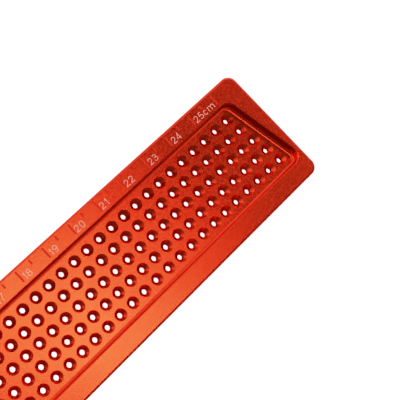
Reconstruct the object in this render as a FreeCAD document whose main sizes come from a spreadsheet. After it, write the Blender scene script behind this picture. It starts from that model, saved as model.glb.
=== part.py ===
import FreeCAD, Part
import os
import math
import Sketcher

# ---------------------------------------------------------------------------
# 260 mm hole-scribing T-square, millimetres.
#
# Frame: +X runs along the blade from the stock towards the tip and is the
# scale reading itself; +Y points to the edge that carries the scale; +Z is up,
# away from the workpiece. The origin is the zero of the scale on the blade's
# centre line, where the blade's underside meets the stock's working face.
# ---------------------------------------------------------------------------

doc = FreeCAD.newDocument("scribing_t_square")
V = FreeCAD.Vector

sheet = doc.addObject("Spreadsheet::Sheet", "Params")

PARAMETERS = [
    # blade blank
    ("blade_reach", 270.0, "blade: working face of the stock to the tip"),
    ("blade_width", 40.0, "blade: width"),
    ("blade_thick", 6.0, "blade: thickness"),
    ("tip_radius", 3.0, "blade: radius of the two tip corners"),
    ("rim_chamfer", 0.7, "blade: chamfer round the top edge"),
    ("foot_chamfer", 0.3, "blade: chamfer round the underside"),
    # tongue that the stock holds
    ("tongue_length", 22.0, "blade: length of the tongue inside the stock"),
    ("tongue_step", 1.0, "blade: step under the tongue, its shoulder squares on the stock"),
    # sunk field
    ("field_half", 14.0, "sunk field: half of its width"),
    ("field_depth", 3.5, "sunk field: depth"),
    ("field_end", 264.0, "sunk field: tip wall, measured on the first hole row"),
    ("field_start", 6.0, "sunk field: root wall, measured on the first hole row"),
    ("field_corner", 3.0, "sunk field: cutter radius in the corners"),
    ("field_root", 1.0, "sunk field: fillet between floor and wall"),
    ("field_lip", 0.25, "sunk field: chamfer round its top edge"),
    # scribing holes
    ("hole_first", 10.0, "scribing holes: first column, on the first row"),
    ("hole_row", 10.0, "scribing holes: distance of the first row from the centre line"),
    ("row_pitch", 5.0, "scribing holes: pitch between rows"),
    ("column_pitch", 5.0, "scribing holes: pitch between columns"),
    ("row_stagger", 1.0, "scribing holes: shift of each row towards the tip"),
    ("column_count", 51, "scribing holes: columns"),
    ("scribe_bore", 1.6, "scribing holes: diameter of the through hole"),
    ("scribe_sink", 3.8, "scribing holes: diameter of the countersink"),
    ("sink_angle", 90.0, "countersink angle"),
    # scale
    ("tick_width", 0.7, "scale: width of a tick at the surface"),
    ("tick_depth", 0.22, "scale: depth of a tick at its point"),
    ("tick_outer", 18.9, "scale: outer end of the ticks, from the centre line"),
    ("tick_long", 15.25, "scale: inner end of a centimetre tick"),
    ("tick_short", 17.3, "scale: inner end of a half-centimetre tick"),
    ("tick_pitch", 10.0, "scale: one centimetre"),
    ("tick_count", 26, "scale: centimetre ticks, and as many halves"),
    # stock
    ("stock_half", 70.0, "stock: half of its length"),
    ("stock_depth", 24.0, "stock: depth behind the working face"),
    ("stock_drop", 9.0, "stock: height of the working face below the blade"),
    ("lip_reach", 8.0, "stock: overhang of the lips over the workpiece"),
    ("lip_thick", 3.0, "stock: thickness of the lips"),
    ("burr_relief", 1.0, "stock: relief groove in the inner corner"),
    ("stock_corner", 3.0, "stock: radius of the vertical corners"),
    ("stock_chamfer", 0.6, "stock: chamfer of the long edges"),
    ("slot_play", 0.02, "stock: clearance round the tongue"),
    # screws and dowels
    ("screw_front", 6.5, "screws: front pair, behind the working face"),
    ("screw_rear", 17.5, "screws: rear pair, behind the working face"),
    ("screw_side", 12.0, "screws: distance from the centre line"),
    ("screw_size", 4.0, "screws: thread diameter"),
    ("screw_length", 12.0, "screws: overall length"),
    ("screw_head", 8.0, "screws: head diameter"),
    ("screw_rim", 0.3, "screws: straight rim of the head"),
    ("screw_sink", 0.1, "screws: head below the blade's surface"),
    ("screw_clear", 4.5, "screws: clearance hole in the tongue"),
    ("screw_cone", 8.84, "screws: countersink in the tongue"),
    ("socket_flats", 2.5, "screws: hex socket across flats"),
    ("socket_depth", 1.8, "screws: hex socket depth"),
    ("thread_bore", 4.04, "screws: threaded hole in the stock"),
    ("thread_depth", 7.4, "screws: depth of the threaded hole"),
    ("dowel_front", 6.0, "dowels: front one, behind the working face"),
    ("dowel_rear", 18.0, "dowels: rear one, behind the working face"),
    ("dowel_size", 3.0, "dowels: diameter"),
    ("dowel_length", 12.0, "dowels: length"),
    ("dowel_sink", 0.3, "dowels: top end below the blade's surface"),
    ("dowel_bore", 3.02, "dowels: reamed hole"),
    ("dowel_depth", 7.5, "dowels: depth of the hole in the stock"),
]

for line, (alias, value, note) in enumerate(PARAMETERS, start=1):
    sheet.set("A%d" % line, note)
    sheet.set("B%d" % line, str(value))
    sheet.setAlias("B%d" % line, alias)
doc.recompute()


class Dim:
    """A length from the sheet, kept both as a number and as an expression."""

    def __init__(self, value, text):
        self.value = float(value)
        self.text = text

    @staticmethod
    def of(other):
        return other if isinstance(other, Dim) else Dim(other, repr(float(other)))

    def __add__(self, other):
        other = Dim.of(other)
        return Dim(self.value + other.value, "(%s + %s)" % (self.text, other.text))

    def __sub__(self, other):
        other = Dim.of(other)
        return Dim(self.value - other.value, "(%s - %s)" % (self.text, other.text))

    def __mul__(self, other):
        other = Dim.of(other)
        return Dim(self.value * other.value, "(%s * %s)" % (self.text, other.text))

    def __truediv__(self, other):
        other = Dim.of(other)
        return Dim(self.value / other.value, "(%s / %s)" % (self.text, other.text))

    def __neg__(self):
        return Dim(-self.value, "(0 - %s)" % self.text)


P = {alias: Dim(value, "Params." + alias) for alias, value, note in PARAMETERS}


# ---------------------------------------------------------------- helpers ---

def plane(body, role):
    for feature in body.Origin.OriginFeatures:
        if feature.Role == role:
            return feature
    raise RuntimeError("no origin feature " + role)


def new_sketch(body, name, role="XY_Plane", height=None):
    """A sketch on one of the body's own origin planes, lifted by height."""
    sketch = body.newObject("Sketcher::SketchObject", name)
    sketch.AttachmentSupport = [(plane(body, role), "")]
    sketch.MapMode = "FlatFace"
    if height is not None:
        sketch.AttachmentOffset = FreeCAD.Placement(V(0, 0, height.value), FreeCAD.Rotation())
        sketch.setExpression("AttachmentOffset.Base.z", height.text)
    return sketch


def fix_point(sketch, geometry, corner, x, y):
    """Hold one point of the sketch at the driven position x, y."""
    for kind, axis, size in (("DistanceX", -2, x), ("DistanceY", -1, y)):
        if abs(size.value) < 1e-9:
            sketch.addConstraint(Sketcher.Constraint("PointOnObject", geometry, corner, axis))
        else:
            index = sketch.addConstraint(
                Sketcher.Constraint(kind, -1, 1, geometry, corner, size.value))
            sketch.setExpression("Constraints[%d]" % index, size.text)


def polygon(sketch, points):
    """A closed outline through driven corner points."""
    points = [(Dim.of(x), Dim.of(y)) for x, y in points]
    count = len(points)
    first = None
    for i in range(count):
        a, b = points[i], points[(i + 1) % count]
        index = sketch.addGeometry(
            Part.LineSegment(V(a[0].value, a[1].value, 0), V(b[0].value, b[1].value, 0)), False)
        first = index if first is None else first
    for i in range(count):
        sketch.addConstraint(
            Sketcher.Constraint("Coincident", first + i, 2, first + (i + 1) % count, 1))
    for i, (x, y) in enumerate(points):
        fix_point(sketch, first + i, 1, x, y)


def rectangle(sketch, x0, x1, y0, y1):
    polygon(sketch, [(x0, y0), (x1, y0), (x1, y1), (x0, y1)])


def circle(sketch, x, y, diameter):
    x, y, diameter = Dim.of(x), Dim.of(y), Dim.of(diameter)
    index = sketch.addGeometry(
        Part.Circle(V(x.value, y.value, 0), V(0, 0, 1), diameter.value / 2), False)
    fix_point(sketch, index, 3, x, y)
    size = sketch.addConstraint(Sketcher.Constraint("Diameter", index, diameter.value))
    sketch.setExpression("Constraints[%d]" % size, diameter.text)


def pad(body, name, sketch, length, symmetric=False):
    feature = body.newObject("PartDesign::Pad", name)
    feature.Profile = sketch
    feature.Length = length.value
    feature.setExpression("Length", length.text)
    if symmetric:
        feature.SideType = "Symmetric"
    sketch.Visibility = False
    doc.recompute()
    return feature


def must_lose(body, before, name):
    """A cut that removed nothing is an error, even when it reports none."""
    doc.recompute()
    after = body.Shape.Volume
    if not after < before - 1e-3:
        raise RuntimeError("%s removed nothing (%.3f -> %.3f)" % (name, before, after))


def pocket(body, name, sketch, depth, upwards=False):
    before = body.Shape.Volume
    feature = body.newObject("PartDesign::Pocket", name)
    feature.Profile = sketch
    feature.Length = depth.value
    feature.setExpression("Length", depth.text)
    feature.Reversed = upwards
    sketch.Visibility = False
    must_lose(body, before, name)
    return feature


def hole(body, name, sketch, diameter, depth=None, sink=None, pointed=False):
    """Drilled holes at the sketch's circles, going down from its plane."""
    doc.recompute()
    before = body.Shape.Volume
    feature = body.newObject("PartDesign::Hole", name)
    feature.Profile = sketch
    doc.recompute()
    feature.Threaded = False
    feature.ThreadType = "None"
    feature.Diameter = diameter.value
    feature.setExpression("Diameter", diameter.text)
    if depth is None:
        feature.DepthType = "ThroughAll"
    else:
        feature.DepthType = "Dimension"
        feature.Depth = depth.value
        feature.setExpression("Depth", depth.text)
    feature.DrillPoint = "Angled" if pointed else "Flat"
    if sink is not None:
        feature.HoleCutType = "Countersink"
        feature.HoleCutCustomValues = True
        feature.HoleCutDiameter = sink.value
        feature.setExpression("HoleCutDiameter", sink.text)
        feature.HoleCutCountersinkAngle = P["sink_angle"].value
        feature.setExpression("HoleCutCountersinkAngle", P["sink_angle"].text)
    else:
        feature.HoleCutType = "None"
    sketch.Visibility = False
    must_lose(body, before, name)
    return feature


def row_along_x(body, name, original, length, count):
    """Repeat a feature along +X; the count includes the original."""
    before = body.Shape.Volume
    feature = body.newObject("PartDesign::LinearPattern", name)
    feature.Originals = [original]
    feature.Direction = (plane(body, "X_Axis"), [""])
    feature.Mode = "Extent"
    feature.Length = length.value
    feature.setExpression("Length", length.text)
    feature.Occurrences = int(count.value)
    feature.setExpression("Occurrences", count.text)
    body.Tip = feature
    must_lose(body, before, name)
    return feature


def edges_where(shape, test):
    names = []
    for i, edge in enumerate(shape.Edges, start=1):
        box = edge.BoundBox
        if test(edge, box):
            names.append("Edge%d" % i)
    if not names:
        raise RuntimeError("no edge found")
    return names


def fillet(body, name, test, radius):
    base = body.Tip
    feature = body.newObject("PartDesign::Fillet", name)
    feature.Base = (base, edges_where(base.Shape, test))
    feature.Radius = radius.value
    feature.setExpression("Radius", radius.text)
    doc.recompute()
    return feature


def chamfer(body, name, test, size):
    base = body.Tip
    feature = body.newObject("PartDesign::Chamfer", name)
    feature.Base = (base, edges_where(base.Shape, test))
    feature.Size = size.value
    feature.setExpression("Size", size.text)
    doc.recompute()
    return feature


def near(a, b, play=1e-4):
    return abs(a - b) < play


def upright(box):
    return box.XLength < 1e-4 and box.YLength < 1e-4


def flat_at(box, z):
    return near(box.ZMin, z) and near(box.ZMax, z)


# ------------------------------------------------------------------ blade ---

blade = doc.addObject("PartDesign::Body", "Blade")
blade.Label = "blade"

half_width = P["blade_width"] / 2
top = P["blade_thick"]
floor = P["blade_thick"] - P["field_depth"]

# the bar itself, from the end of the tongue to the tip
outline = new_sketch(blade, "BladeOutline")
rectangle(outline, -P["tongue_length"], P["blade_reach"], -half_width, half_width)
pad(blade, "BladeBlank", outline, P["blade_thick"])

fillet(blade, "TipCorners",
       lambda e, b: upright(b) and near(b.XMin, P["blade_reach"].value),
       P["tip_radius"])

# the step under the tongue; its shoulder stands on the scale's zero
step = new_sketch(blade, "TongueStep")
rectangle(step, -P["tongue_length"] - 1.0, Dim(0, "0"), -half_width - 1.0, half_width + 1.0)
pocket(blade, "TongueRelief", step, P["tongue_step"], upwards=True)

# the sunk field: its end walls lean with the stagger of the hole rows
lean = P["row_stagger"] / P["row_pitch"]


def leaning(base, y):
    """The X of an end wall at the distance y from the centre line."""
    return base + lean * (P["hole_row"] - y)


field = new_sketch(blade, "FieldOutline", height=top)
polygon(field, [
    (leaning(P["field_start"], -P["field_half"]), -P["field_half"]),
    (leaning(P["field_end"], -P["field_half"]), -P["field_half"]),
    (leaning(P["field_end"], P["field_half"]), P["field_half"]),
    (leaning(P["field_start"], P["field_half"]), P["field_half"]),
])
pocket(blade, "SunkField", field, P["field_depth"])

inside = P["field_half"].value + 0.01

fillet(blade, "FieldCorners",
       lambda e, b: upright(b) and near(b.ZMin, floor.value) and abs(b.YMin) < inside
       and abs(b.YMax) < inside,
       P["field_corner"])

fillet(blade, "FieldRoot",
       lambda e, b: flat_at(b, floor.value) and abs(b.YMin) < inside and abs(b.YMax) < inside,
       P["field_root"])

chamfer(blade, "FieldLip",
        lambda e, b: flat_at(b, top.value) and abs(b.YMin) < inside and abs(b.YMax) < inside
        and b.XMin > 1.0,
        P["field_lip"])

# broken edges round the top and round the underside
chamfer(blade, "RimChamfer",
        lambda e, b: flat_at(b, top.value)
        and (max(abs(b.YMin), abs(b.YMax)) > inside + 1.0),
        P["rim_chamfer"])

chamfer(blade, "FootChamfer",
        lambda e, b: flat_at(b, 0.0) and b.XMax > 1.0 and b.XMax - b.XMin + b.YLength > 0.5
        and b.XMax > 1.0,
        P["foot_chamfer"])

# the scale: centimetre ticks and half-centimetre ticks, cut by a V point
def tick(name, at, inner):
    """A V groove across the edge, from the outer end of the scale inwards."""
    section = new_sketch(blade, name, role="XZ_Plane", height=-P["tick_outer"])
    half = P["tick_width"] / 2
    polygon(section, [(at - half, top), (at, top - P["tick_depth"]), (at + half, top),
                      (at + half, top + 0.2), (at - half, top + 0.2)])
    cut = pocket(blade, name + "Cut", section, P["tick_outer"] - inner, upwards=True)
    row_along_x(blade, name + "s", cut, P["tick_pitch"] * (P["tick_count"] - 1),
                P["tick_count"])


tick("LongTick", P["tick_pitch"], P["tick_long"])
tick("ShortTick", P["tick_pitch"] / 2, P["tick_short"])

# fixing holes in the tongue: four countersunk, two reamed
sites = [
    ("front_left", -P["screw_front"], P["screw_side"]),
    ("front_right", -P["screw_front"], -P["screw_side"]),
    ("rear_left", -P["screw_rear"], P["screw_side"]),
    ("rear_right", -P["screw_rear"], -P["screw_side"]),
]
pins = [
    ("front", -P["dowel_front"]),
    ("rear", -P["dowel_rear"]),
]

fixings = new_sketch(blade, "ScrewPositions", height=top)
for name, x, y in sites:
    circle(fixings, x, y, P["screw_clear"])
hole(blade, "ScrewHoles", fixings, P["screw_clear"], sink=P["screw_cone"])

reams = new_sketch(blade, "DowelPositions", height=top)
for name, x in pins:
    circle(reams, x, Dim(0, "0"), P["dowel_bore"])
hole(blade, "DowelHoles", reams, P["dowel_bore"])

# the scribing holes: one slanted column of five, repeated along the blade
column = new_sketch(blade, "ScribeColumn", height=floor)
for i in range(5):
    circle(column, P["hole_first"] + P["row_stagger"] * i,
           P["hole_row"] - P["row_pitch"] * i, P["scribe_bore"])
scribe = hole(blade, "ScribeHoles", column, P["scribe_bore"], sink=P["scribe_sink"])
row_along_x(blade, "ScribeField", scribe, P["column_pitch"] * (P["column_count"] - 1),
            P["column_count"])


# ------------------------------------------------------------------ stock ---

stock = doc.addObject("PartDesign::Body", "Stock")
stock.Label = "stock"

relief = P["burr_relief"]
section = new_sketch(stock, "StockSection", role="XZ_Plane")
polygon(section, [
    (-P["stock_depth"], -P["stock_drop"]),
    (Dim(0, "0"), -P["stock_drop"]),
    (Dim(0, "0"), -relief),
    (-relief, -relief),
    (-relief, Dim(0, "0")),
    (P["lip_reach"], Dim(0, "0")),
    (P["lip_reach"], P["lip_thick"]),
    (Dim(0, "0"), P["lip_thick"]),
    (Dim(0, "0"), P["blade_thick"]),
    (-P["stock_depth"], P["blade_thick"]),
])
pad(stock, "StockBar", section, P["stock_half"] * 2, symmetric=True)

# rounded corners of the bar's back and of the lips
fillet(stock, "StockCorners",
       lambda e, b: upright(b) and (near(b.XMin, -P["stock_depth"].value)
                                    or near(b.XMin, P["lip_reach"].value)),
       P["stock_corner"])

# broken edges: underside, top and the ends, before the slot is milled
chamfer(stock, "UndersideChamfer",
        lambda e, b: flat_at(b, -P["stock_drop"].value),
        P["stock_chamfer"])
chamfer(stock, "TopChamfer",
        lambda e, b: flat_at(b, P["blade_thick"].value),
        P["stock_chamfer"])
chamfer(stock, "LipChamfer",
        lambda e, b: flat_at(b, P["lip_thick"].value) and b.XMax > 0.5,
        P["stock_chamfer"])

# the slot for the tongue, closed at the back
slot_half = half_width + P["slot_play"]
slot = new_sketch(stock, "SlotOutline", height=top)
rectangle(slot, -P["tongue_length"] - P["slot_play"], Dim(0.0, "0"), -slot_half, slot_half)
pocket(stock, "TongueSlot", slot, P["blade_thick"] - P["tongue_step"])

# the lips stop at the blade's sides
gap = new_sketch(stock, "LipGap", height=top)
rectangle(gap, Dim(0.0, "0"), P["lip_reach"] + 1.0, -slot_half, slot_half)
pocket(stock, "LipOpening", gap, P["blade_thick"] + 1.0)

bores = new_sketch(stock, "ThreadPositions", height=P["tongue_step"])
for name, x, y in sites:
    circle(bores, x, y, P["thread_bore"])
hole(stock, "ThreadedHoles", bores, P["thread_bore"], depth=P["thread_depth"], pointed=True)

pin_bores = new_sketch(stock, "PinPositions", height=P["tongue_step"])
for name, x in pins:
    circle(pin_bores, x, Dim(0, "0"), P["dowel_bore"])
hole(stock, "PinHoles", pin_bores, P["dowel_bore"], depth=P["dowel_depth"])


# ----------------------------------------------------------------- screws ---

def revolved(body, name, points):
    """A turned piece: its half section in the XZ plane, turned about Z."""
    half = new_sketch(body, name + "Section", role="XZ_Plane")
    polygon(half, points)
    feature = body.newObject("PartDesign::Revolution", name + "Turned")
    feature.Profile = half
    feature.ReferenceAxis = (plane(body, "Z_Axis"), [""])
    feature.Angle = 360.0
    half.Visibility = False
    doc.recompute()
    return feature


def make_screw(label, x, y):
    body = doc.addObject("PartDesign::Body", "Screw_" + label)
    body.Label = "screw_" + label
    head = P["screw_head"] / 2
    shank = P["screw_size"] / 2
    cone = P["screw_rim"] + head - shank
    zero = Dim(0, "0")
    revolved(body, "Screw", [
        (zero, -P["screw_length"]),
        (shank - 0.5, -P["screw_length"]),
        (shank, -P["screw_length"] + 0.5),
        (shank, -cone),
        (head, -P["screw_rim"]),
        (head, -Dim(0.08, "0.08")),
        (head - 0.08, zero),
        (zero, zero),
    ])
    # hexagonal socket, flats across
    flat = P["socket_flats"] / 2
    corner = P["socket_flats"] / math.sqrt(3.0)
    socket = new_sketch(body, "SocketOutline")
    polygon(socket, [
        (corner, zero),
        (corner / 2, flat),
        (-(corner / 2), flat),
        (-corner, zero),
        (-(corner / 2), -flat),
        (corner / 2, -flat),
    ])
    pocket(body, "HexSocket", socket, P["socket_depth"])
    height = P["blade_thick"] - P["screw_sink"]
    body.Placement = FreeCAD.Placement(V(x.value, y.value, height.value), FreeCAD.Rotation())
    body.setExpression("Placement.Base.x", x.text)
    body.setExpression("Placement.Base.y", y.text)
    body.setExpression("Placement.Base.z", height.text)
    doc.recompute()
    return body


def make_dowel(label, x):
    body = doc.addObject("PartDesign::Body", "Dowel_" + label)
    body.Label = "dowel_" + label
    radius = P["dowel_size"] / 2
    zero = Dim(0, "0")
    revolved(body, "Dowel", [
        (zero, -P["dowel_length"]),
        (radius - 0.4, -P["dowel_length"]),
        (radius, -P["dowel_length"] + 0.4),
        (radius, -Dim(0.4, "0.4")),
        (radius - 0.4, zero),
        (zero, zero),
    ])
    height = P["blade_thick"] - P["dowel_sink"]
    body.Placement = FreeCAD.Placement(V(x.value, 0, height.value), FreeCAD.Rotation())
    body.setExpression("Placement.Base.x", x.text)
    body.setExpression("Placement.Base.z", height.text)
    doc.recompute()
    return body


nodes = [blade, stock]
for name, x, y in sites:
    nodes.append(make_screw(name, x, y))
for name, x in pins:
    nodes.append(make_dowel(name, x))


# ------------------------------------------------------- checks and files ---

doc.recompute()

for thing in doc.Objects:
    state = list(thing.State)
    if "Invalid" in state or "Error" in state:
        raise RuntimeError("%s is %s" % (thing.Name, state))

for body in nodes:
    shape = body.Shape
    if shape.isNull() or not shape.isValid():
        raise RuntimeError("%s has no valid shape" % body.Label)
    if len(shape.Solids) != 1:
        raise RuntimeError("%s has %d solids" % (body.Label, len(shape.Solids)))
    box = shape.BoundBox
    print("%-18s faces %5d volume %10.2f  X %.3f..%.3f  Y %.3f..%.3f  Z %.3f..%.3f" % (
        body.Label, len(shape.Faces), shape.Volume,
        box.XMin, box.XMax, box.YMin, box.YMax, box.ZMin, box.ZMax))

os.makedirs("parts", exist_ok=True)
for body in nodes:
    body.Shape.exportStep("parts/%s.step" % body.Label)
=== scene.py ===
import math
import bpy
from mathutils import Matrix, Vector
from mathutils.geometry import delaunay_2d_cdt


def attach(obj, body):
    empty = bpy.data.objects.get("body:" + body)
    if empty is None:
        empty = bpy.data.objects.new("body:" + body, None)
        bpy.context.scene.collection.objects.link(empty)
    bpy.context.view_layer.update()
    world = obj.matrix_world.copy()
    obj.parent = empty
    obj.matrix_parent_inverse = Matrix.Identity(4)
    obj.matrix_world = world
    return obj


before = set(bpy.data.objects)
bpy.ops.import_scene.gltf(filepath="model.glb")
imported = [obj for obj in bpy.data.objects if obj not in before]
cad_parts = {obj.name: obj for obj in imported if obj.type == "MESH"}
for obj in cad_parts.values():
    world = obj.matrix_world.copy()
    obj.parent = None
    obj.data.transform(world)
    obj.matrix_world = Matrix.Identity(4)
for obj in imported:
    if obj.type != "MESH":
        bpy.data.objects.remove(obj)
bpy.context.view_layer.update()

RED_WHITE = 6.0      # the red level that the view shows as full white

MM = 0.001
scene = bpy.context.scene


# ------------------------------------------------------------------------
# Node helpers
# ------------------------------------------------------------------------

def new_material(name):
    mat = bpy.data.materials.new(name)
    mat.use_nodes = True
    nt = mat.node_tree
    nt.nodes.clear()
    out = nt.nodes.new("ShaderNodeOutputMaterial")
    bsdf = nt.nodes.new("ShaderNodeBsdfPrincipled")
    nt.links.new(bsdf.outputs[0], out.inputs[0])
    return mat, nt, bsdf, out


def add(nt, kind, **values):
    node = nt.nodes.new(kind)
    for key, value in values.items():
        setattr(node, key, value)
    return node


def noise(nt, vector, scale, detail=2.0, rough=0.5):
    n = add(nt, "ShaderNodeTexNoise")
    n.inputs["Scale"].default_value = scale
    n.inputs["Detail"].default_value = detail
    n.inputs["Roughness"].default_value = rough
    nt.links.new(vector, n.inputs["Vector"])
    return n


def remap(nt, value, a, b, c, d):
    n = add(nt, "ShaderNodeMapRange")
    n.inputs["From Min"].default_value = a
    n.inputs["From Max"].default_value = b
    n.inputs["To Min"].default_value = c
    n.inputs["To Max"].default_value = d
    nt.links.new(value, n.inputs["Value"])
    return n.outputs[0]


def maths(nt, op, a, b):
    n = add(nt, "ShaderNodeMath", operation=op)
    for i, v in enumerate((a, b)):
        if isinstance(v, (int, float)):
            n.inputs[i].default_value = v
        else:
            nt.links.new(v, n.inputs[i])
    return n.outputs[0]


def anodised(name, deep, bright, rough=0.22, wall_shade=None):
    """Bead-blasted aluminium under a dyed oxide layer: a tinted metal with a
    fine satin grain, slight cloudiness in the dye and flecks where it bit."""
    mat, nt, bsdf, out = new_material(name)
    coord = add(nt, "ShaderNodeTexCoord").outputs["Object"]
    # dye: very slightly cloudy over centimetres, mottled at the blast grain
    cloud = noise(nt, coord, 60.0, 3.0, 0.55).outputs["Fac"]
    fleck = noise(nt, coord, 1700.0, 3.0, 0.7).outputs["Fac"]
    mixed = maths(nt, "ADD", maths(nt, "MULTIPLY", cloud, 0.20), maths(nt, "MULTIPLY", fleck, 0.80))
    ramp = add(nt, "ShaderNodeValToRGB")
    ramp.color_ramp.elements[0].position = 0.36
    ramp.color_ramp.elements[0].color = (*deep, 1)
    ramp.color_ramp.elements[1].position = 0.64
    ramp.color_ramp.elements[1].color = (*bright, 1)
    nt.links.new(mixed, ramp.inputs["Fac"])
    colour = ramp.outputs["Color"]
    if wall_shade:
        # painted shade: the steep faces inside the sunk field (its sides, root fillet, countersinks and
        # holes) are darkened towards dark red; milled and not blasted, they are also made rougher
        (half_y, x0, x1, z1), wall_shade_strength = wall_shade
        tc = add(nt, "ShaderNodeTexCoord")
        up = add(nt, "ShaderNodeSeparateXYZ")
        nt.links.new(tc.outputs["Normal"], up.inputs[0])
        at = add(nt, "ShaderNodeSeparateXYZ")
        nt.links.new(tc.outputs["Object"], at.inputs[0])
        # mask for the painted shade: steep faces fully, the shallow root fillet at up to 0.6
        rise = maths(nt, "ABSOLUTE", up.outputs["Z"], 0.0)
        upright = maths(nt, "MAXIMUM", remap(nt, rise, 0.55, 0.85, 1.0, 0.0),
                        remap(nt, rise, 0.960, 0.999, 0.60, 0.0))
        inside = maths(nt, "MULTIPLY",
                       maths(nt, "LESS_THAN", maths(nt, "ABSOLUTE", at.outputs["Y"], 0.0), half_y),
                       maths(nt, "MULTIPLY", maths(nt, "GREATER_THAN", at.outputs["X"], x0),
                             maths(nt, "LESS_THAN", at.outputs["X"], x1)))
        inside = maths(nt, "MULTIPLY", inside, maths(nt, "LESS_THAN", at.outputs["Z"], z1))
        wall_shade_and_dullness = maths(nt, "MULTIPLY", maths(nt, "MULTIPLY", upright, inside), wall_shade_strength)
        shade = add(nt, "ShaderNodeMix", data_type="RGBA", blend_type="MULTIPLY")
        nt.links.new(wall_shade_and_dullness, shade.inputs["Factor"])
        nt.links.new(colour, shade.inputs["A"])
        # the dark red that the painted shade mixes in
        shade.inputs["B"].default_value = (0.05, 0.02, 0.02, 1)
        colour = shade.outputs["Result"]
        # the engraved ticks: left rough by the point, with painted shade in the grooves as a darker red
        cut = maths(nt, "MULTIPLY",
                    maths(nt, "MULTIPLY", maths(nt, "GREATER_THAN", at.outputs["Y"], 0.0150),
                          maths(nt, "LESS_THAN", at.outputs["Y"], 0.0190)),
                    maths(nt, "MULTIPLY", maths(nt, "LESS_THAN", at.outputs["Z"], 0.005992),
                          maths(nt, "GREATER_THAN", at.outputs["Z"], 0.0057)))
        tick_groove_shade = add(nt, "ShaderNodeMix", data_type="RGBA")
        nt.links.new(cut, tick_groove_shade.inputs["Factor"])
        nt.links.new(colour, tick_groove_shade.inputs["A"])
        # painted shade: the darker red of the tick grooves
        tick_groove_shade.inputs["B"].default_value = (0.76, 0.048, 0.018, 1)
        colour = tick_groove_shade.outputs["Result"]
    nt.links.new(colour, bsdf.inputs["Base Color"])
    bsdf.inputs["Metallic"].default_value = 1.0
    # roughness: the blasted grain scatters, handling has smoothed it in places
    wear = noise(nt, coord, 25.0, 4.0, 0.6).outputs["Fac"]
    r = maths(nt, "ADD", remap(nt, wear, 0.3, 0.7, rough - 0.005, rough + 0.005),
              remap(nt, fleck, 0.25, 0.75, -0.05, 0.05))
    if wall_shade:
        # the painted-shade mask also raises the roughness of those faces
        r = maths(nt, "ADD", r, maths(nt, "ADD", maths(nt, "MULTIPLY", cut, 0.22),
                                      maths(nt, "MULTIPLY", wall_shade_and_dullness, 0.20)))
    nt.links.new(r, bsdf.inputs["Roughness"])
    # grain: two sizes of blasting dimples
    fine = noise(nt, coord, 5200.0, 2.0, 0.5).outputs["Fac"]
    coarse = noise(nt, coord, 1500.0, 2.0, 0.5).outputs["Fac"]
    height = maths(nt, "ADD", maths(nt, "MULTIPLY", fine, 0.5), maths(nt, "MULTIPLY", coarse, 0.5))
    bump = add(nt, "ShaderNodeBump")
    bump.inputs["Strength"].default_value = 0.5
    bump.inputs["Distance"].default_value = 0.00004
    nt.links.new(height, bump.inputs["Height"])
    nt.links.new(bump.outputs[0], bsdf.inputs["Normal"])
    return mat


blade_red = anodised("anodised_red_blade", (0.86, 0.0360, 0.0106), (0.98, 0.0680, 0.0202),
                     wall_shade=((0.0143, 0.004, 0.268, 0.0059), 0.45))
stock_red = anodised("anodised_red_stock", (0.85, 0.0355, 0.0104), (0.97, 0.0670, 0.0198))


def steel(name, colour, rough):
    mat, nt, bsdf, out = new_material(name)
    coord = add(nt, "ShaderNodeTexCoord").outputs["Object"]
    n = noise(nt, coord, 900.0, 3.0, 0.6).outputs["Fac"]
    ramp = add(nt, "ShaderNodeValToRGB")
    ramp.color_ramp.elements[0].position = 0.3
    ramp.color_ramp.elements[0].color = (*[c * 0.8 for c in colour], 1)
    ramp.color_ramp.elements[1].position = 0.7
    ramp.color_ramp.elements[1].color = (*[c * 1.15 for c in colour], 1)
    nt.links.new(n, ramp.inputs["Fac"])
    nt.links.new(ramp.outputs["Color"], bsdf.inputs["Base Color"])
    bsdf.inputs["Metallic"].default_value = 1.0
    nt.links.new(remap(nt, n, 0.3, 0.7, rough - 0.06, rough + 0.08), bsdf.inputs["Roughness"])
    bump = add(nt, "ShaderNodeBump")
    bump.inputs["Strength"].default_value = 0.2
    bump.inputs["Distance"].default_value = 0.00002
    nt.links.new(n, bump.inputs["Height"])
    nt.links.new(bump.outputs[0], bsdf.inputs["Normal"])
    return mat


black_screw = steel("black_oxide_steel", (0.11, 0.11, 0.115), 0.34)
ground_pin = steel("ground_steel", (0.62, 0.62, 0.64), 0.26)

paint = {
    "blade": blade_red, "stock": stock_red,
    "screw_front_left": black_screw, "screw_front_right": black_screw,
    "screw_rear_left": black_screw, "screw_rear_right": black_screw,
    "dowel_front": ground_pin, "dowel_rear": ground_pin,
}
for node, mat in paint.items():
    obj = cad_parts[node]
    obj.data.materials.clear()
    obj.data.materials.append(mat)


# ------------------------------------------------------------------------
# Numerals of the scale: thin printed strokes beside the centimetre ticks
# ------------------------------------------------------------------------

def arc(cx, cy, rx, ry, start, stop, steps=14, power=2.0):
    """Points along part of an oval, angles in degrees."""
    pts = []
    for i in range(steps + 1):
        a = math.radians(start + (stop - start) * i / steps)
        c, s = math.cos(a), math.sin(a)
        pts.append((cx + rx * math.copysign(abs(c) ** (2 / power), c),
                    cy + ry * math.copysign(abs(s) ** (2 / power), s)))
    return pts


def ring(cx, cy, rx, ry, power=2.2):
    return ("ring", arc(cx, cy, rx, ry, 0, 360, 28, power)[:-1])


def line(*pts):
    return ("line", list(pts))


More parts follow.
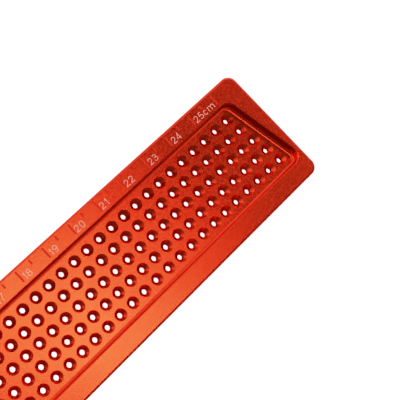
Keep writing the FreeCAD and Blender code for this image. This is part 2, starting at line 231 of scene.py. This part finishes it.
# centre lines of the strokes in millimetres, on a cell 1.45 wide and 2.2 high
SIX = [ring(0.725, 0.70, 0.60, 0.575),
       line(*([(0.125, 0.70), (0.13, 1.05), (0.17, 1.35), (0.27, 1.65), (0.43, 1.90)]
              + arc(0.74, 1.66, 0.50, 0.415, 115, 15, 6)))]
GLYPHS = {
    "0": [ring(0.725, 1.10, 0.60, 0.975, 2.4)],
    "1": [line((0.78, 0.0), (0.78, 2.2)),
          line((0.30, 1.66), (0.50, 1.69), (0.64, 1.79), (0.73, 1.96), (0.76, 2.12))],
    "2": [line(*(arc(0.725, 1.50, 0.56, 0.575, 178, -30, 14)
                 + [(0.98, 0.95), (0.58, 0.63), (0.30, 0.38), (0.16, 0.15)])),
          line((0.02, 0.125), (1.40, 0.125))],
    "3": [line(*(arc(0.70, 1.60, 0.50, 0.475, 165, -90, 12) + [(0.50, 1.125)])),
          line(*([(0.50, 1.16)] + arc(0.70, 0.64, 0.60, 0.515, 88, -165, 14)))],
    "4": [line((1.02, 0.0), (1.02, 2.2)), line((1.02, 2.08), (0.12, 0.70)),
          line((0.02, 0.62), (1.42, 0.62))],
    "5": [line((0.27, 2.075), (1.28, 2.075)), line((0.33, 2.10), (0.19, 0.98)),
          line(*arc(0.70, 0.71, 0.62, 0.585, 148, -160, 16))],
    "6": SIX,
    "7": [line((0.06, 2.075), (1.38, 2.075)),
          line((1.30, 2.05), (0.98, 1.58), (0.72, 1.02), (0.58, 0.48), (0.52, 0.0))],
    "8": [ring(0.725, 1.61, 0.50, 0.465), ring(0.725, 0.64, 0.60, 0.515)],
    "9": [(kind, [(1.45 - x, 2.2 - y) for x, y in pts]) for kind, pts in SIX],
    "c": [line(*arc(0.74, 0.83, 0.60, 0.705, 42, 318, 16))],
    "m": [line((0.125, 0.0), (0.125, 1.62)), line((1.22, 0.0), (1.22, 1.12)),
          line((2.32, 0.0), (2.32, 1.12)),
          line(*([(0.125, 1.05)] + arc(0.6725, 1.10, 0.5475, 0.435, 172, 0, 10))),
          line(*([(1.22, 1.05)] + arc(1.77, 1.10, 0.55, 0.435, 172, 0, 10)))],
}
STROKE = 0.16


def offsets(pts, half, closed):
    """The two sides of a stroke, mitred at its bends."""
    n = len(pts)
    left, right = [], []
    for i, (x, y) in enumerate(pts):
        before = pts[(i - 1) % n] if closed or i else None
        after = pts[(i + 1) % n] if closed or i < n - 1 else None
        dirs = []
        for a, b in ((before, (x, y)), ((x, y), after)):
            if a is not None and b is not None:
                d = Vector((b[0] - a[0], b[1] - a[1])).normalized()
                dirs.append(d)
        mean = sum(dirs, Vector((0, 0))).normalized()
        normal = Vector((-mean.y, mean.x))
        reach = half / max(0.5, normal.dot(Vector((-dirs[0].y, dirs[0].x))))
        left.append(Vector((x, y)) + normal * reach)
        right.append(Vector((x, y)) - normal * reach)
    return left, right


def glyph_faces(strokes):
    """The strokes of one glyph joined into one flat triangulated shape."""
    points, faces, keep = [], [], []

    def face(loop):
        if sum(p.x * q.y - q.x * p.y for p, q in zip(loop, loop[1:] + loop[:1])) < 0:
            loop = loop[::-1]
        start = len(points)
        points.extend(loop)
        faces.append(list(range(start, start + len(loop))))
        return len(faces) - 1

    for kind, pts in strokes:
        left, right = offsets(pts, STROKE / 2, kind == "ring")
        if kind == "ring":
            a, b = face(left), face(right)
            area = [abs(sum(p.x * q.y - q.x * p.y for p, q in zip(loop, loop[1:] + loop[:1])))
                    for loop in (left, right)]
            keep.append((b, a) if area[1] > area[0] else (a, b))
        else:
            keep.append((face(left + right[::-1]), None))
    verts, _, tris, _, _, origin = delaunay_2d_cdt(points, [], faces, 0, 1e-6)
    kept = [t for t, o in zip(tris, origin)
            if any(outer in o and inner not in o for outer, inner in keep)]
    return verts, kept


def glyph_solid(strokes, low, high):
    """Vertices and faces of the closed thin prism over a glyph."""
    flat, tris = glyph_faces(strokes)
    used = sorted({i for t in tris for i in t})
    index = {old: new for new, old in enumerate(used)}
    count = len(used)
    verts = [(flat[i].x, flat[i].y, low) for i in used] + [(flat[i].x, flat[i].y, high) for i in used]
    faces, edges = [], {}
    for t in tris:
        t = [index[i] for i in t]
        area = sum(verts[t[k]][0] * verts[t[(k + 1) % 3]][1] - verts[t[(k + 1) % 3]][0] * verts[t[k]][1]
                   for k in range(3))
        if area < 0:
            t = t[::-1]
        faces.append([i + count for i in t])
        faces.append(t[::-1])
        for k in range(3):
            a, b = t[k], t[(k + 1) % 3]
            if (b, a) in edges:
                del edges[(b, a)]
            else:
                edges[(a, b)] = True
    for a, b in edges:
        faces.append([a, b, b + count, a + count])
    return verts, faces


def label(name, text, x, y, mat):
    """One number of the scale; x is its tick and y its base line."""
    solids = {}
    verts, faces = [], []
    at = 0.6
    for k, ch in enumerate(text):
        if ch == " ":
            continue
        if ch not in solids:
            solids[ch] = glyph_solid(GLYPHS[ch], 5.985, 6.012)
        gv, gf = solids[ch]
        start = len(verts)
        verts += [((x + at + vx) * MM, (y + vy) * MM, vz * MM) for vx, vy, vz in gv]
        faces += [[i + start for i in f] for f in gf]
        at += 1.45 if ch == "1" else 1.8 if ch == "5" and text.endswith("m") else 2.0 if ch == "c" else 1.9
    mesh = bpy.data.meshes.new(name)
    mesh.from_pydata(verts, [], faces)
    mesh.validate()
    mesh.materials.append(mat)
    obj = bpy.data.objects.new(name, mesh)
    scene.collection.objects.link(obj)
    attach(obj, "root")
    return obj


def marking(name):
    """Pale marks bitten through the dye: the bare grain with a little red left."""
    mat, nt, bsdf, out = new_material(name)
    coord = add(nt, "ShaderNodeTexCoord").outputs["Object"]
    n = noise(nt, coord, 6000.0, 3.0, 0.6).outputs["Fac"]
    ramp = add(nt, "ShaderNodeValToRGB")
    ramp.color_ramp.elements[0].position = 0.3
    ramp.color_ramp.elements[0].color = (0.93, 0.50, 0.42, 1)
    ramp.color_ramp.elements[1].position = 0.7
    ramp.color_ramp.elements[1].color = (1.00, 0.66, 0.58, 1)
    nt.links.new(n, ramp.inputs["Fac"])
    nt.links.new(ramp.outputs["Color"], bsdf.inputs["Base Color"])
    bsdf.inputs["Metallic"].default_value = 1.0
    nt.links.new(remap(nt, n, 0.3, 0.7, 0.66, 0.78), bsdf.inputs["Roughness"])
    bump = add(nt, "ShaderNodeBump")
    bump.inputs["Strength"].default_value = 0.3
    bump.inputs["Distance"].default_value = 0.00002
    nt.links.new(n, bump.inputs["Height"])
    nt.links.new(bump.outputs[0], bsdf.inputs["Normal"])
    return mat


mark_pale = marking("pale_mark")
for cm in range(1, 26):
    label("number_%02d" % cm, "%d cm" % cm if cm == 25 else str(cm), 10.0 * cm, 15.15, mark_pale)


# ------------------------------------------------------------------------
# Stage: pale floor, a soft light tent and one overhead strip
# ------------------------------------------------------------------------

def glow(name, colour, strength):
    mat = bpy.data.materials.new(name)
    mat.use_nodes = True
    nt = mat.node_tree
    nt.nodes.clear()
    out = nt.nodes.new("ShaderNodeOutputMaterial")
    em = nt.nodes.new("ShaderNodeEmission")
    em.inputs["Color"].default_value = (*colour, 1)
    em.inputs["Strength"].default_value = strength
    nt.links.new(em.outputs[0], out.inputs[0])
    return mat


def quad(name, corners, mat):
    mesh = bpy.data.meshes.new(name)
    mesh.from_pydata([Vector(c) for c in corners], [], [(0, 1, 2, 3)])
    mesh.materials.append(mat)
    obj = bpy.data.objects.new(name, mesh)
    scene.collection.objects.link(obj)
    return obj


# the floor passes under the stock's lower front edge and the blade's tip
slope = 0.009 / 0.2706


def floor_z(x):
    return -0.009 + (x + 0.0006) * slope


R = 3.0
floor = quad("floor", [(-R, -R, floor_z(-R)), (R, -R, floor_z(R)), (R, R, floor_z(R)), (-R, R, floor_z(-R))],
             glow("pale_floor", (1, 1.15 / RED_WHITE, 1.15 / RED_WHITE), RED_WHITE * 1.02))
floor.visible_glossy = False
floor.visible_diffuse = False
floor.visible_shadow = False

# the tent: bright low down towards the tip and the scale edge, dark behind
# the stock, with an unlit patch overhead round the strip
world = bpy.data.worlds.new("studio")
scene.world = world
world.use_nodes = True
wt = world.node_tree
bg = wt.nodes["Background"]
sky = wt.nodes.new("ShaderNodeTexCoord").outputs["Generated"]


def towards(azimuth, elevation):
    a, e = math.radians(azimuth), math.radians(elevation)
    return Vector((math.cos(e) * math.cos(a), math.cos(e) * math.sin(a), math.sin(e)))


def facing(direction):
    n = add(wt, "ShaderNodeVectorMath", operation="DOT_PRODUCT")
    wt.links.new(sky, n.inputs[0])
    n.inputs[1].default_value = direction
    return n.outputs["Value"]


def step(value, a, b, c, d, blend="SMOOTHSTEP"):
    n = add(wt, "ShaderNodeMapRange", interpolation_type=blend)
    for key, v in (("From Min", a), ("From Max", b), ("To Min", c), ("To Max", d)):
        n.inputs[key].default_value = v
    wt.links.new(value, n.inputs["Value"])
    return n.outputs[0]


# a broad soft light from the scale side and the tip, dark straight overhead
SKY_LOW, SKY_HIGH = 0.22, 1.80
around = step(facing(towards(38, 50)), -0.33, 1.0, 0.0, 1.0, "LINEAR")
around = maths(wt, "ADD", maths(wt, "MULTIPLY", maths(wt, "MULTIPLY", around, around),
                                SKY_HIGH - SKY_LOW), SKY_LOW)
patch_dir = Vector((math.tan(math.radians(10.0)), math.tan(math.radians(2.5)), 1)).normalized()
patch = step(maths(wt, "ARCCOSINE", facing(patch_dir), 0.0),
             math.radians(13.5), math.radians(35), 0.0, 1.0)
below = step(facing(Vector((0, 0, 1))), -0.20, -0.04, 0.5, 1.0)
level = maths(wt, "MULTIPLY", maths(wt, "MULTIPLY", around, patch), below)
# a soft round lamp low on the scale side, and a weaker one lower still
key = step(maths(wt, "ARCCOSINE", facing(towards(137, 40)), 0.0),
           math.radians(13), math.radians(19), 2.3, 0.0)
rim = step(maths(wt, "ARCCOSINE", facing(towards(116, 18)), 0.0),
           math.radians(5), math.radians(9), 5.0, 0.0)
low = step(maths(wt, "ARCCOSINE", facing(towards(92, -4)), 0.0),
           math.radians(6), math.radians(22), 0.55, 0.0)
far = step(maths(wt, "ARCCOSINE", facing(towards(22, 4)), 0.0),
           math.radians(14), math.radians(44), 1.5, 0.0)
lamps = maths(wt, "ADD", maths(wt, "ADD", key, far), maths(wt, "ADD", rim, low))
# nothing bright stands over the root of the blade
shade_dir = Vector((math.tan(math.radians(-26)), 0, 1)).normalized()
shade = step(maths(wt, "ARCCOSINE", facing(shade_dir), 0.0),
             math.radians(12), math.radians(30), 0.15, 1.0)
level = maths(wt, "ADD", maths(wt, "MULTIPLY", level, shade), lamps)
bg.inputs["Color"].default_value = (1, 1, 1, 1)
wt.links.new(level, bg.inputs["Strength"])


def panel(name, centre, size_x, size_y, radiance, turn=0.0, aim=(0.22, 0, 0)):
    """A flat rectangular lamp facing the blade; turn is about its own normal."""
    lamp = bpy.data.lights.new(name, "AREA")
    lamp.shape = "RECTANGLE"
    lamp.size, lamp.size_y = size_x, size_y
    lamp.energy = radiance * math.pi * size_x * size_y
    obj = bpy.data.objects.new(name, lamp)
    obj.location = centre
    away = (Vector(centre) - Vector(aim)).normalized()
    across = (Vector((1, 0, 0)) - away * away.x).normalized()
    across = Matrix.Rotation(turn, 3, away) @ across
    along = away.cross(across)
    obj.matrix_world = Matrix((
        (across.x, along.x, away.x, centre[0]),
        (across.y, along.y, away.y, centre[1]),
        (across.z, along.z, away.z, centre[2]),
        (0, 0, 0, 1)))
    scene.collection.objects.link(obj)
    return obj


def tilted(tilt_x, tilt_y, distance):
    d = Vector((math.tan(math.radians(tilt_x)), math.tan(math.radians(tilt_y)), 1)).normalized()
    return Vector((0.22, 0, 0)) + d * distance


panel("overhead_strip", tilted(9.6, -0.5, 3.0), 0.28, 0.70, 12.2, math.radians(30))


# ------------------------------------------------------------------------
# Camera
# ------------------------------------------------------------------------

cam_data = bpy.data.cameras.new("camera")
cam_data.lens = 90.0
cam_data.sensor_width = 36.0
cam_data.sensor_fit = "HORIZONTAL"
cam_data.clip_start, cam_data.clip_end = 0.01, 50.0
cam = bpy.data.objects.new("camera", cam_data)
right = Vector((0.67574, -0.69216, 0.25355)).normalized()
back = Vector((-0.35342, -0.00236, 0.93546)).normalized()
up = back.cross(right).normalized()
right = up.cross(back)
cam.matrix_world = Matrix((
    (right.x, up.x, back.x, 0.1299),
    (right.y, up.y, back.y, -0.0027),
    (right.z, up.z, back.z, 0.2819),
    (0, 0, 0, 1)))
scene.collection.objects.link(cam)
scene.camera = cam

scene.view_settings.view_transform = "Standard"
scene.view_settings.look = "None"
# a camera sensor's red channel eases off towards white long before it clips
SHOULDER = [(0.0, 0.0), (0.15, 0.155), (0.32, 0.39), (0.50, 0.61), (0.70, 0.715), (1.00, 0.785),
            (1.50, 0.825), (2.20, 0.865), (3.20, 0.90), (4.50, 0.95), (RED_WHITE, 1.0)]
scene.view_settings.use_curve_mapping = True
film = scene.view_settings.curve_mapping
film.black_level = (0, 0, 0)
film.white_level = (RED_WHITE, 1, 1)
shoulder = film.curves[0].points
for x, y in SHOULDER[1:-1]:
    shoulder.new(x / RED_WHITE, y)
for point in shoulder:
    point.handle_type = "VECTOR"
film.update()
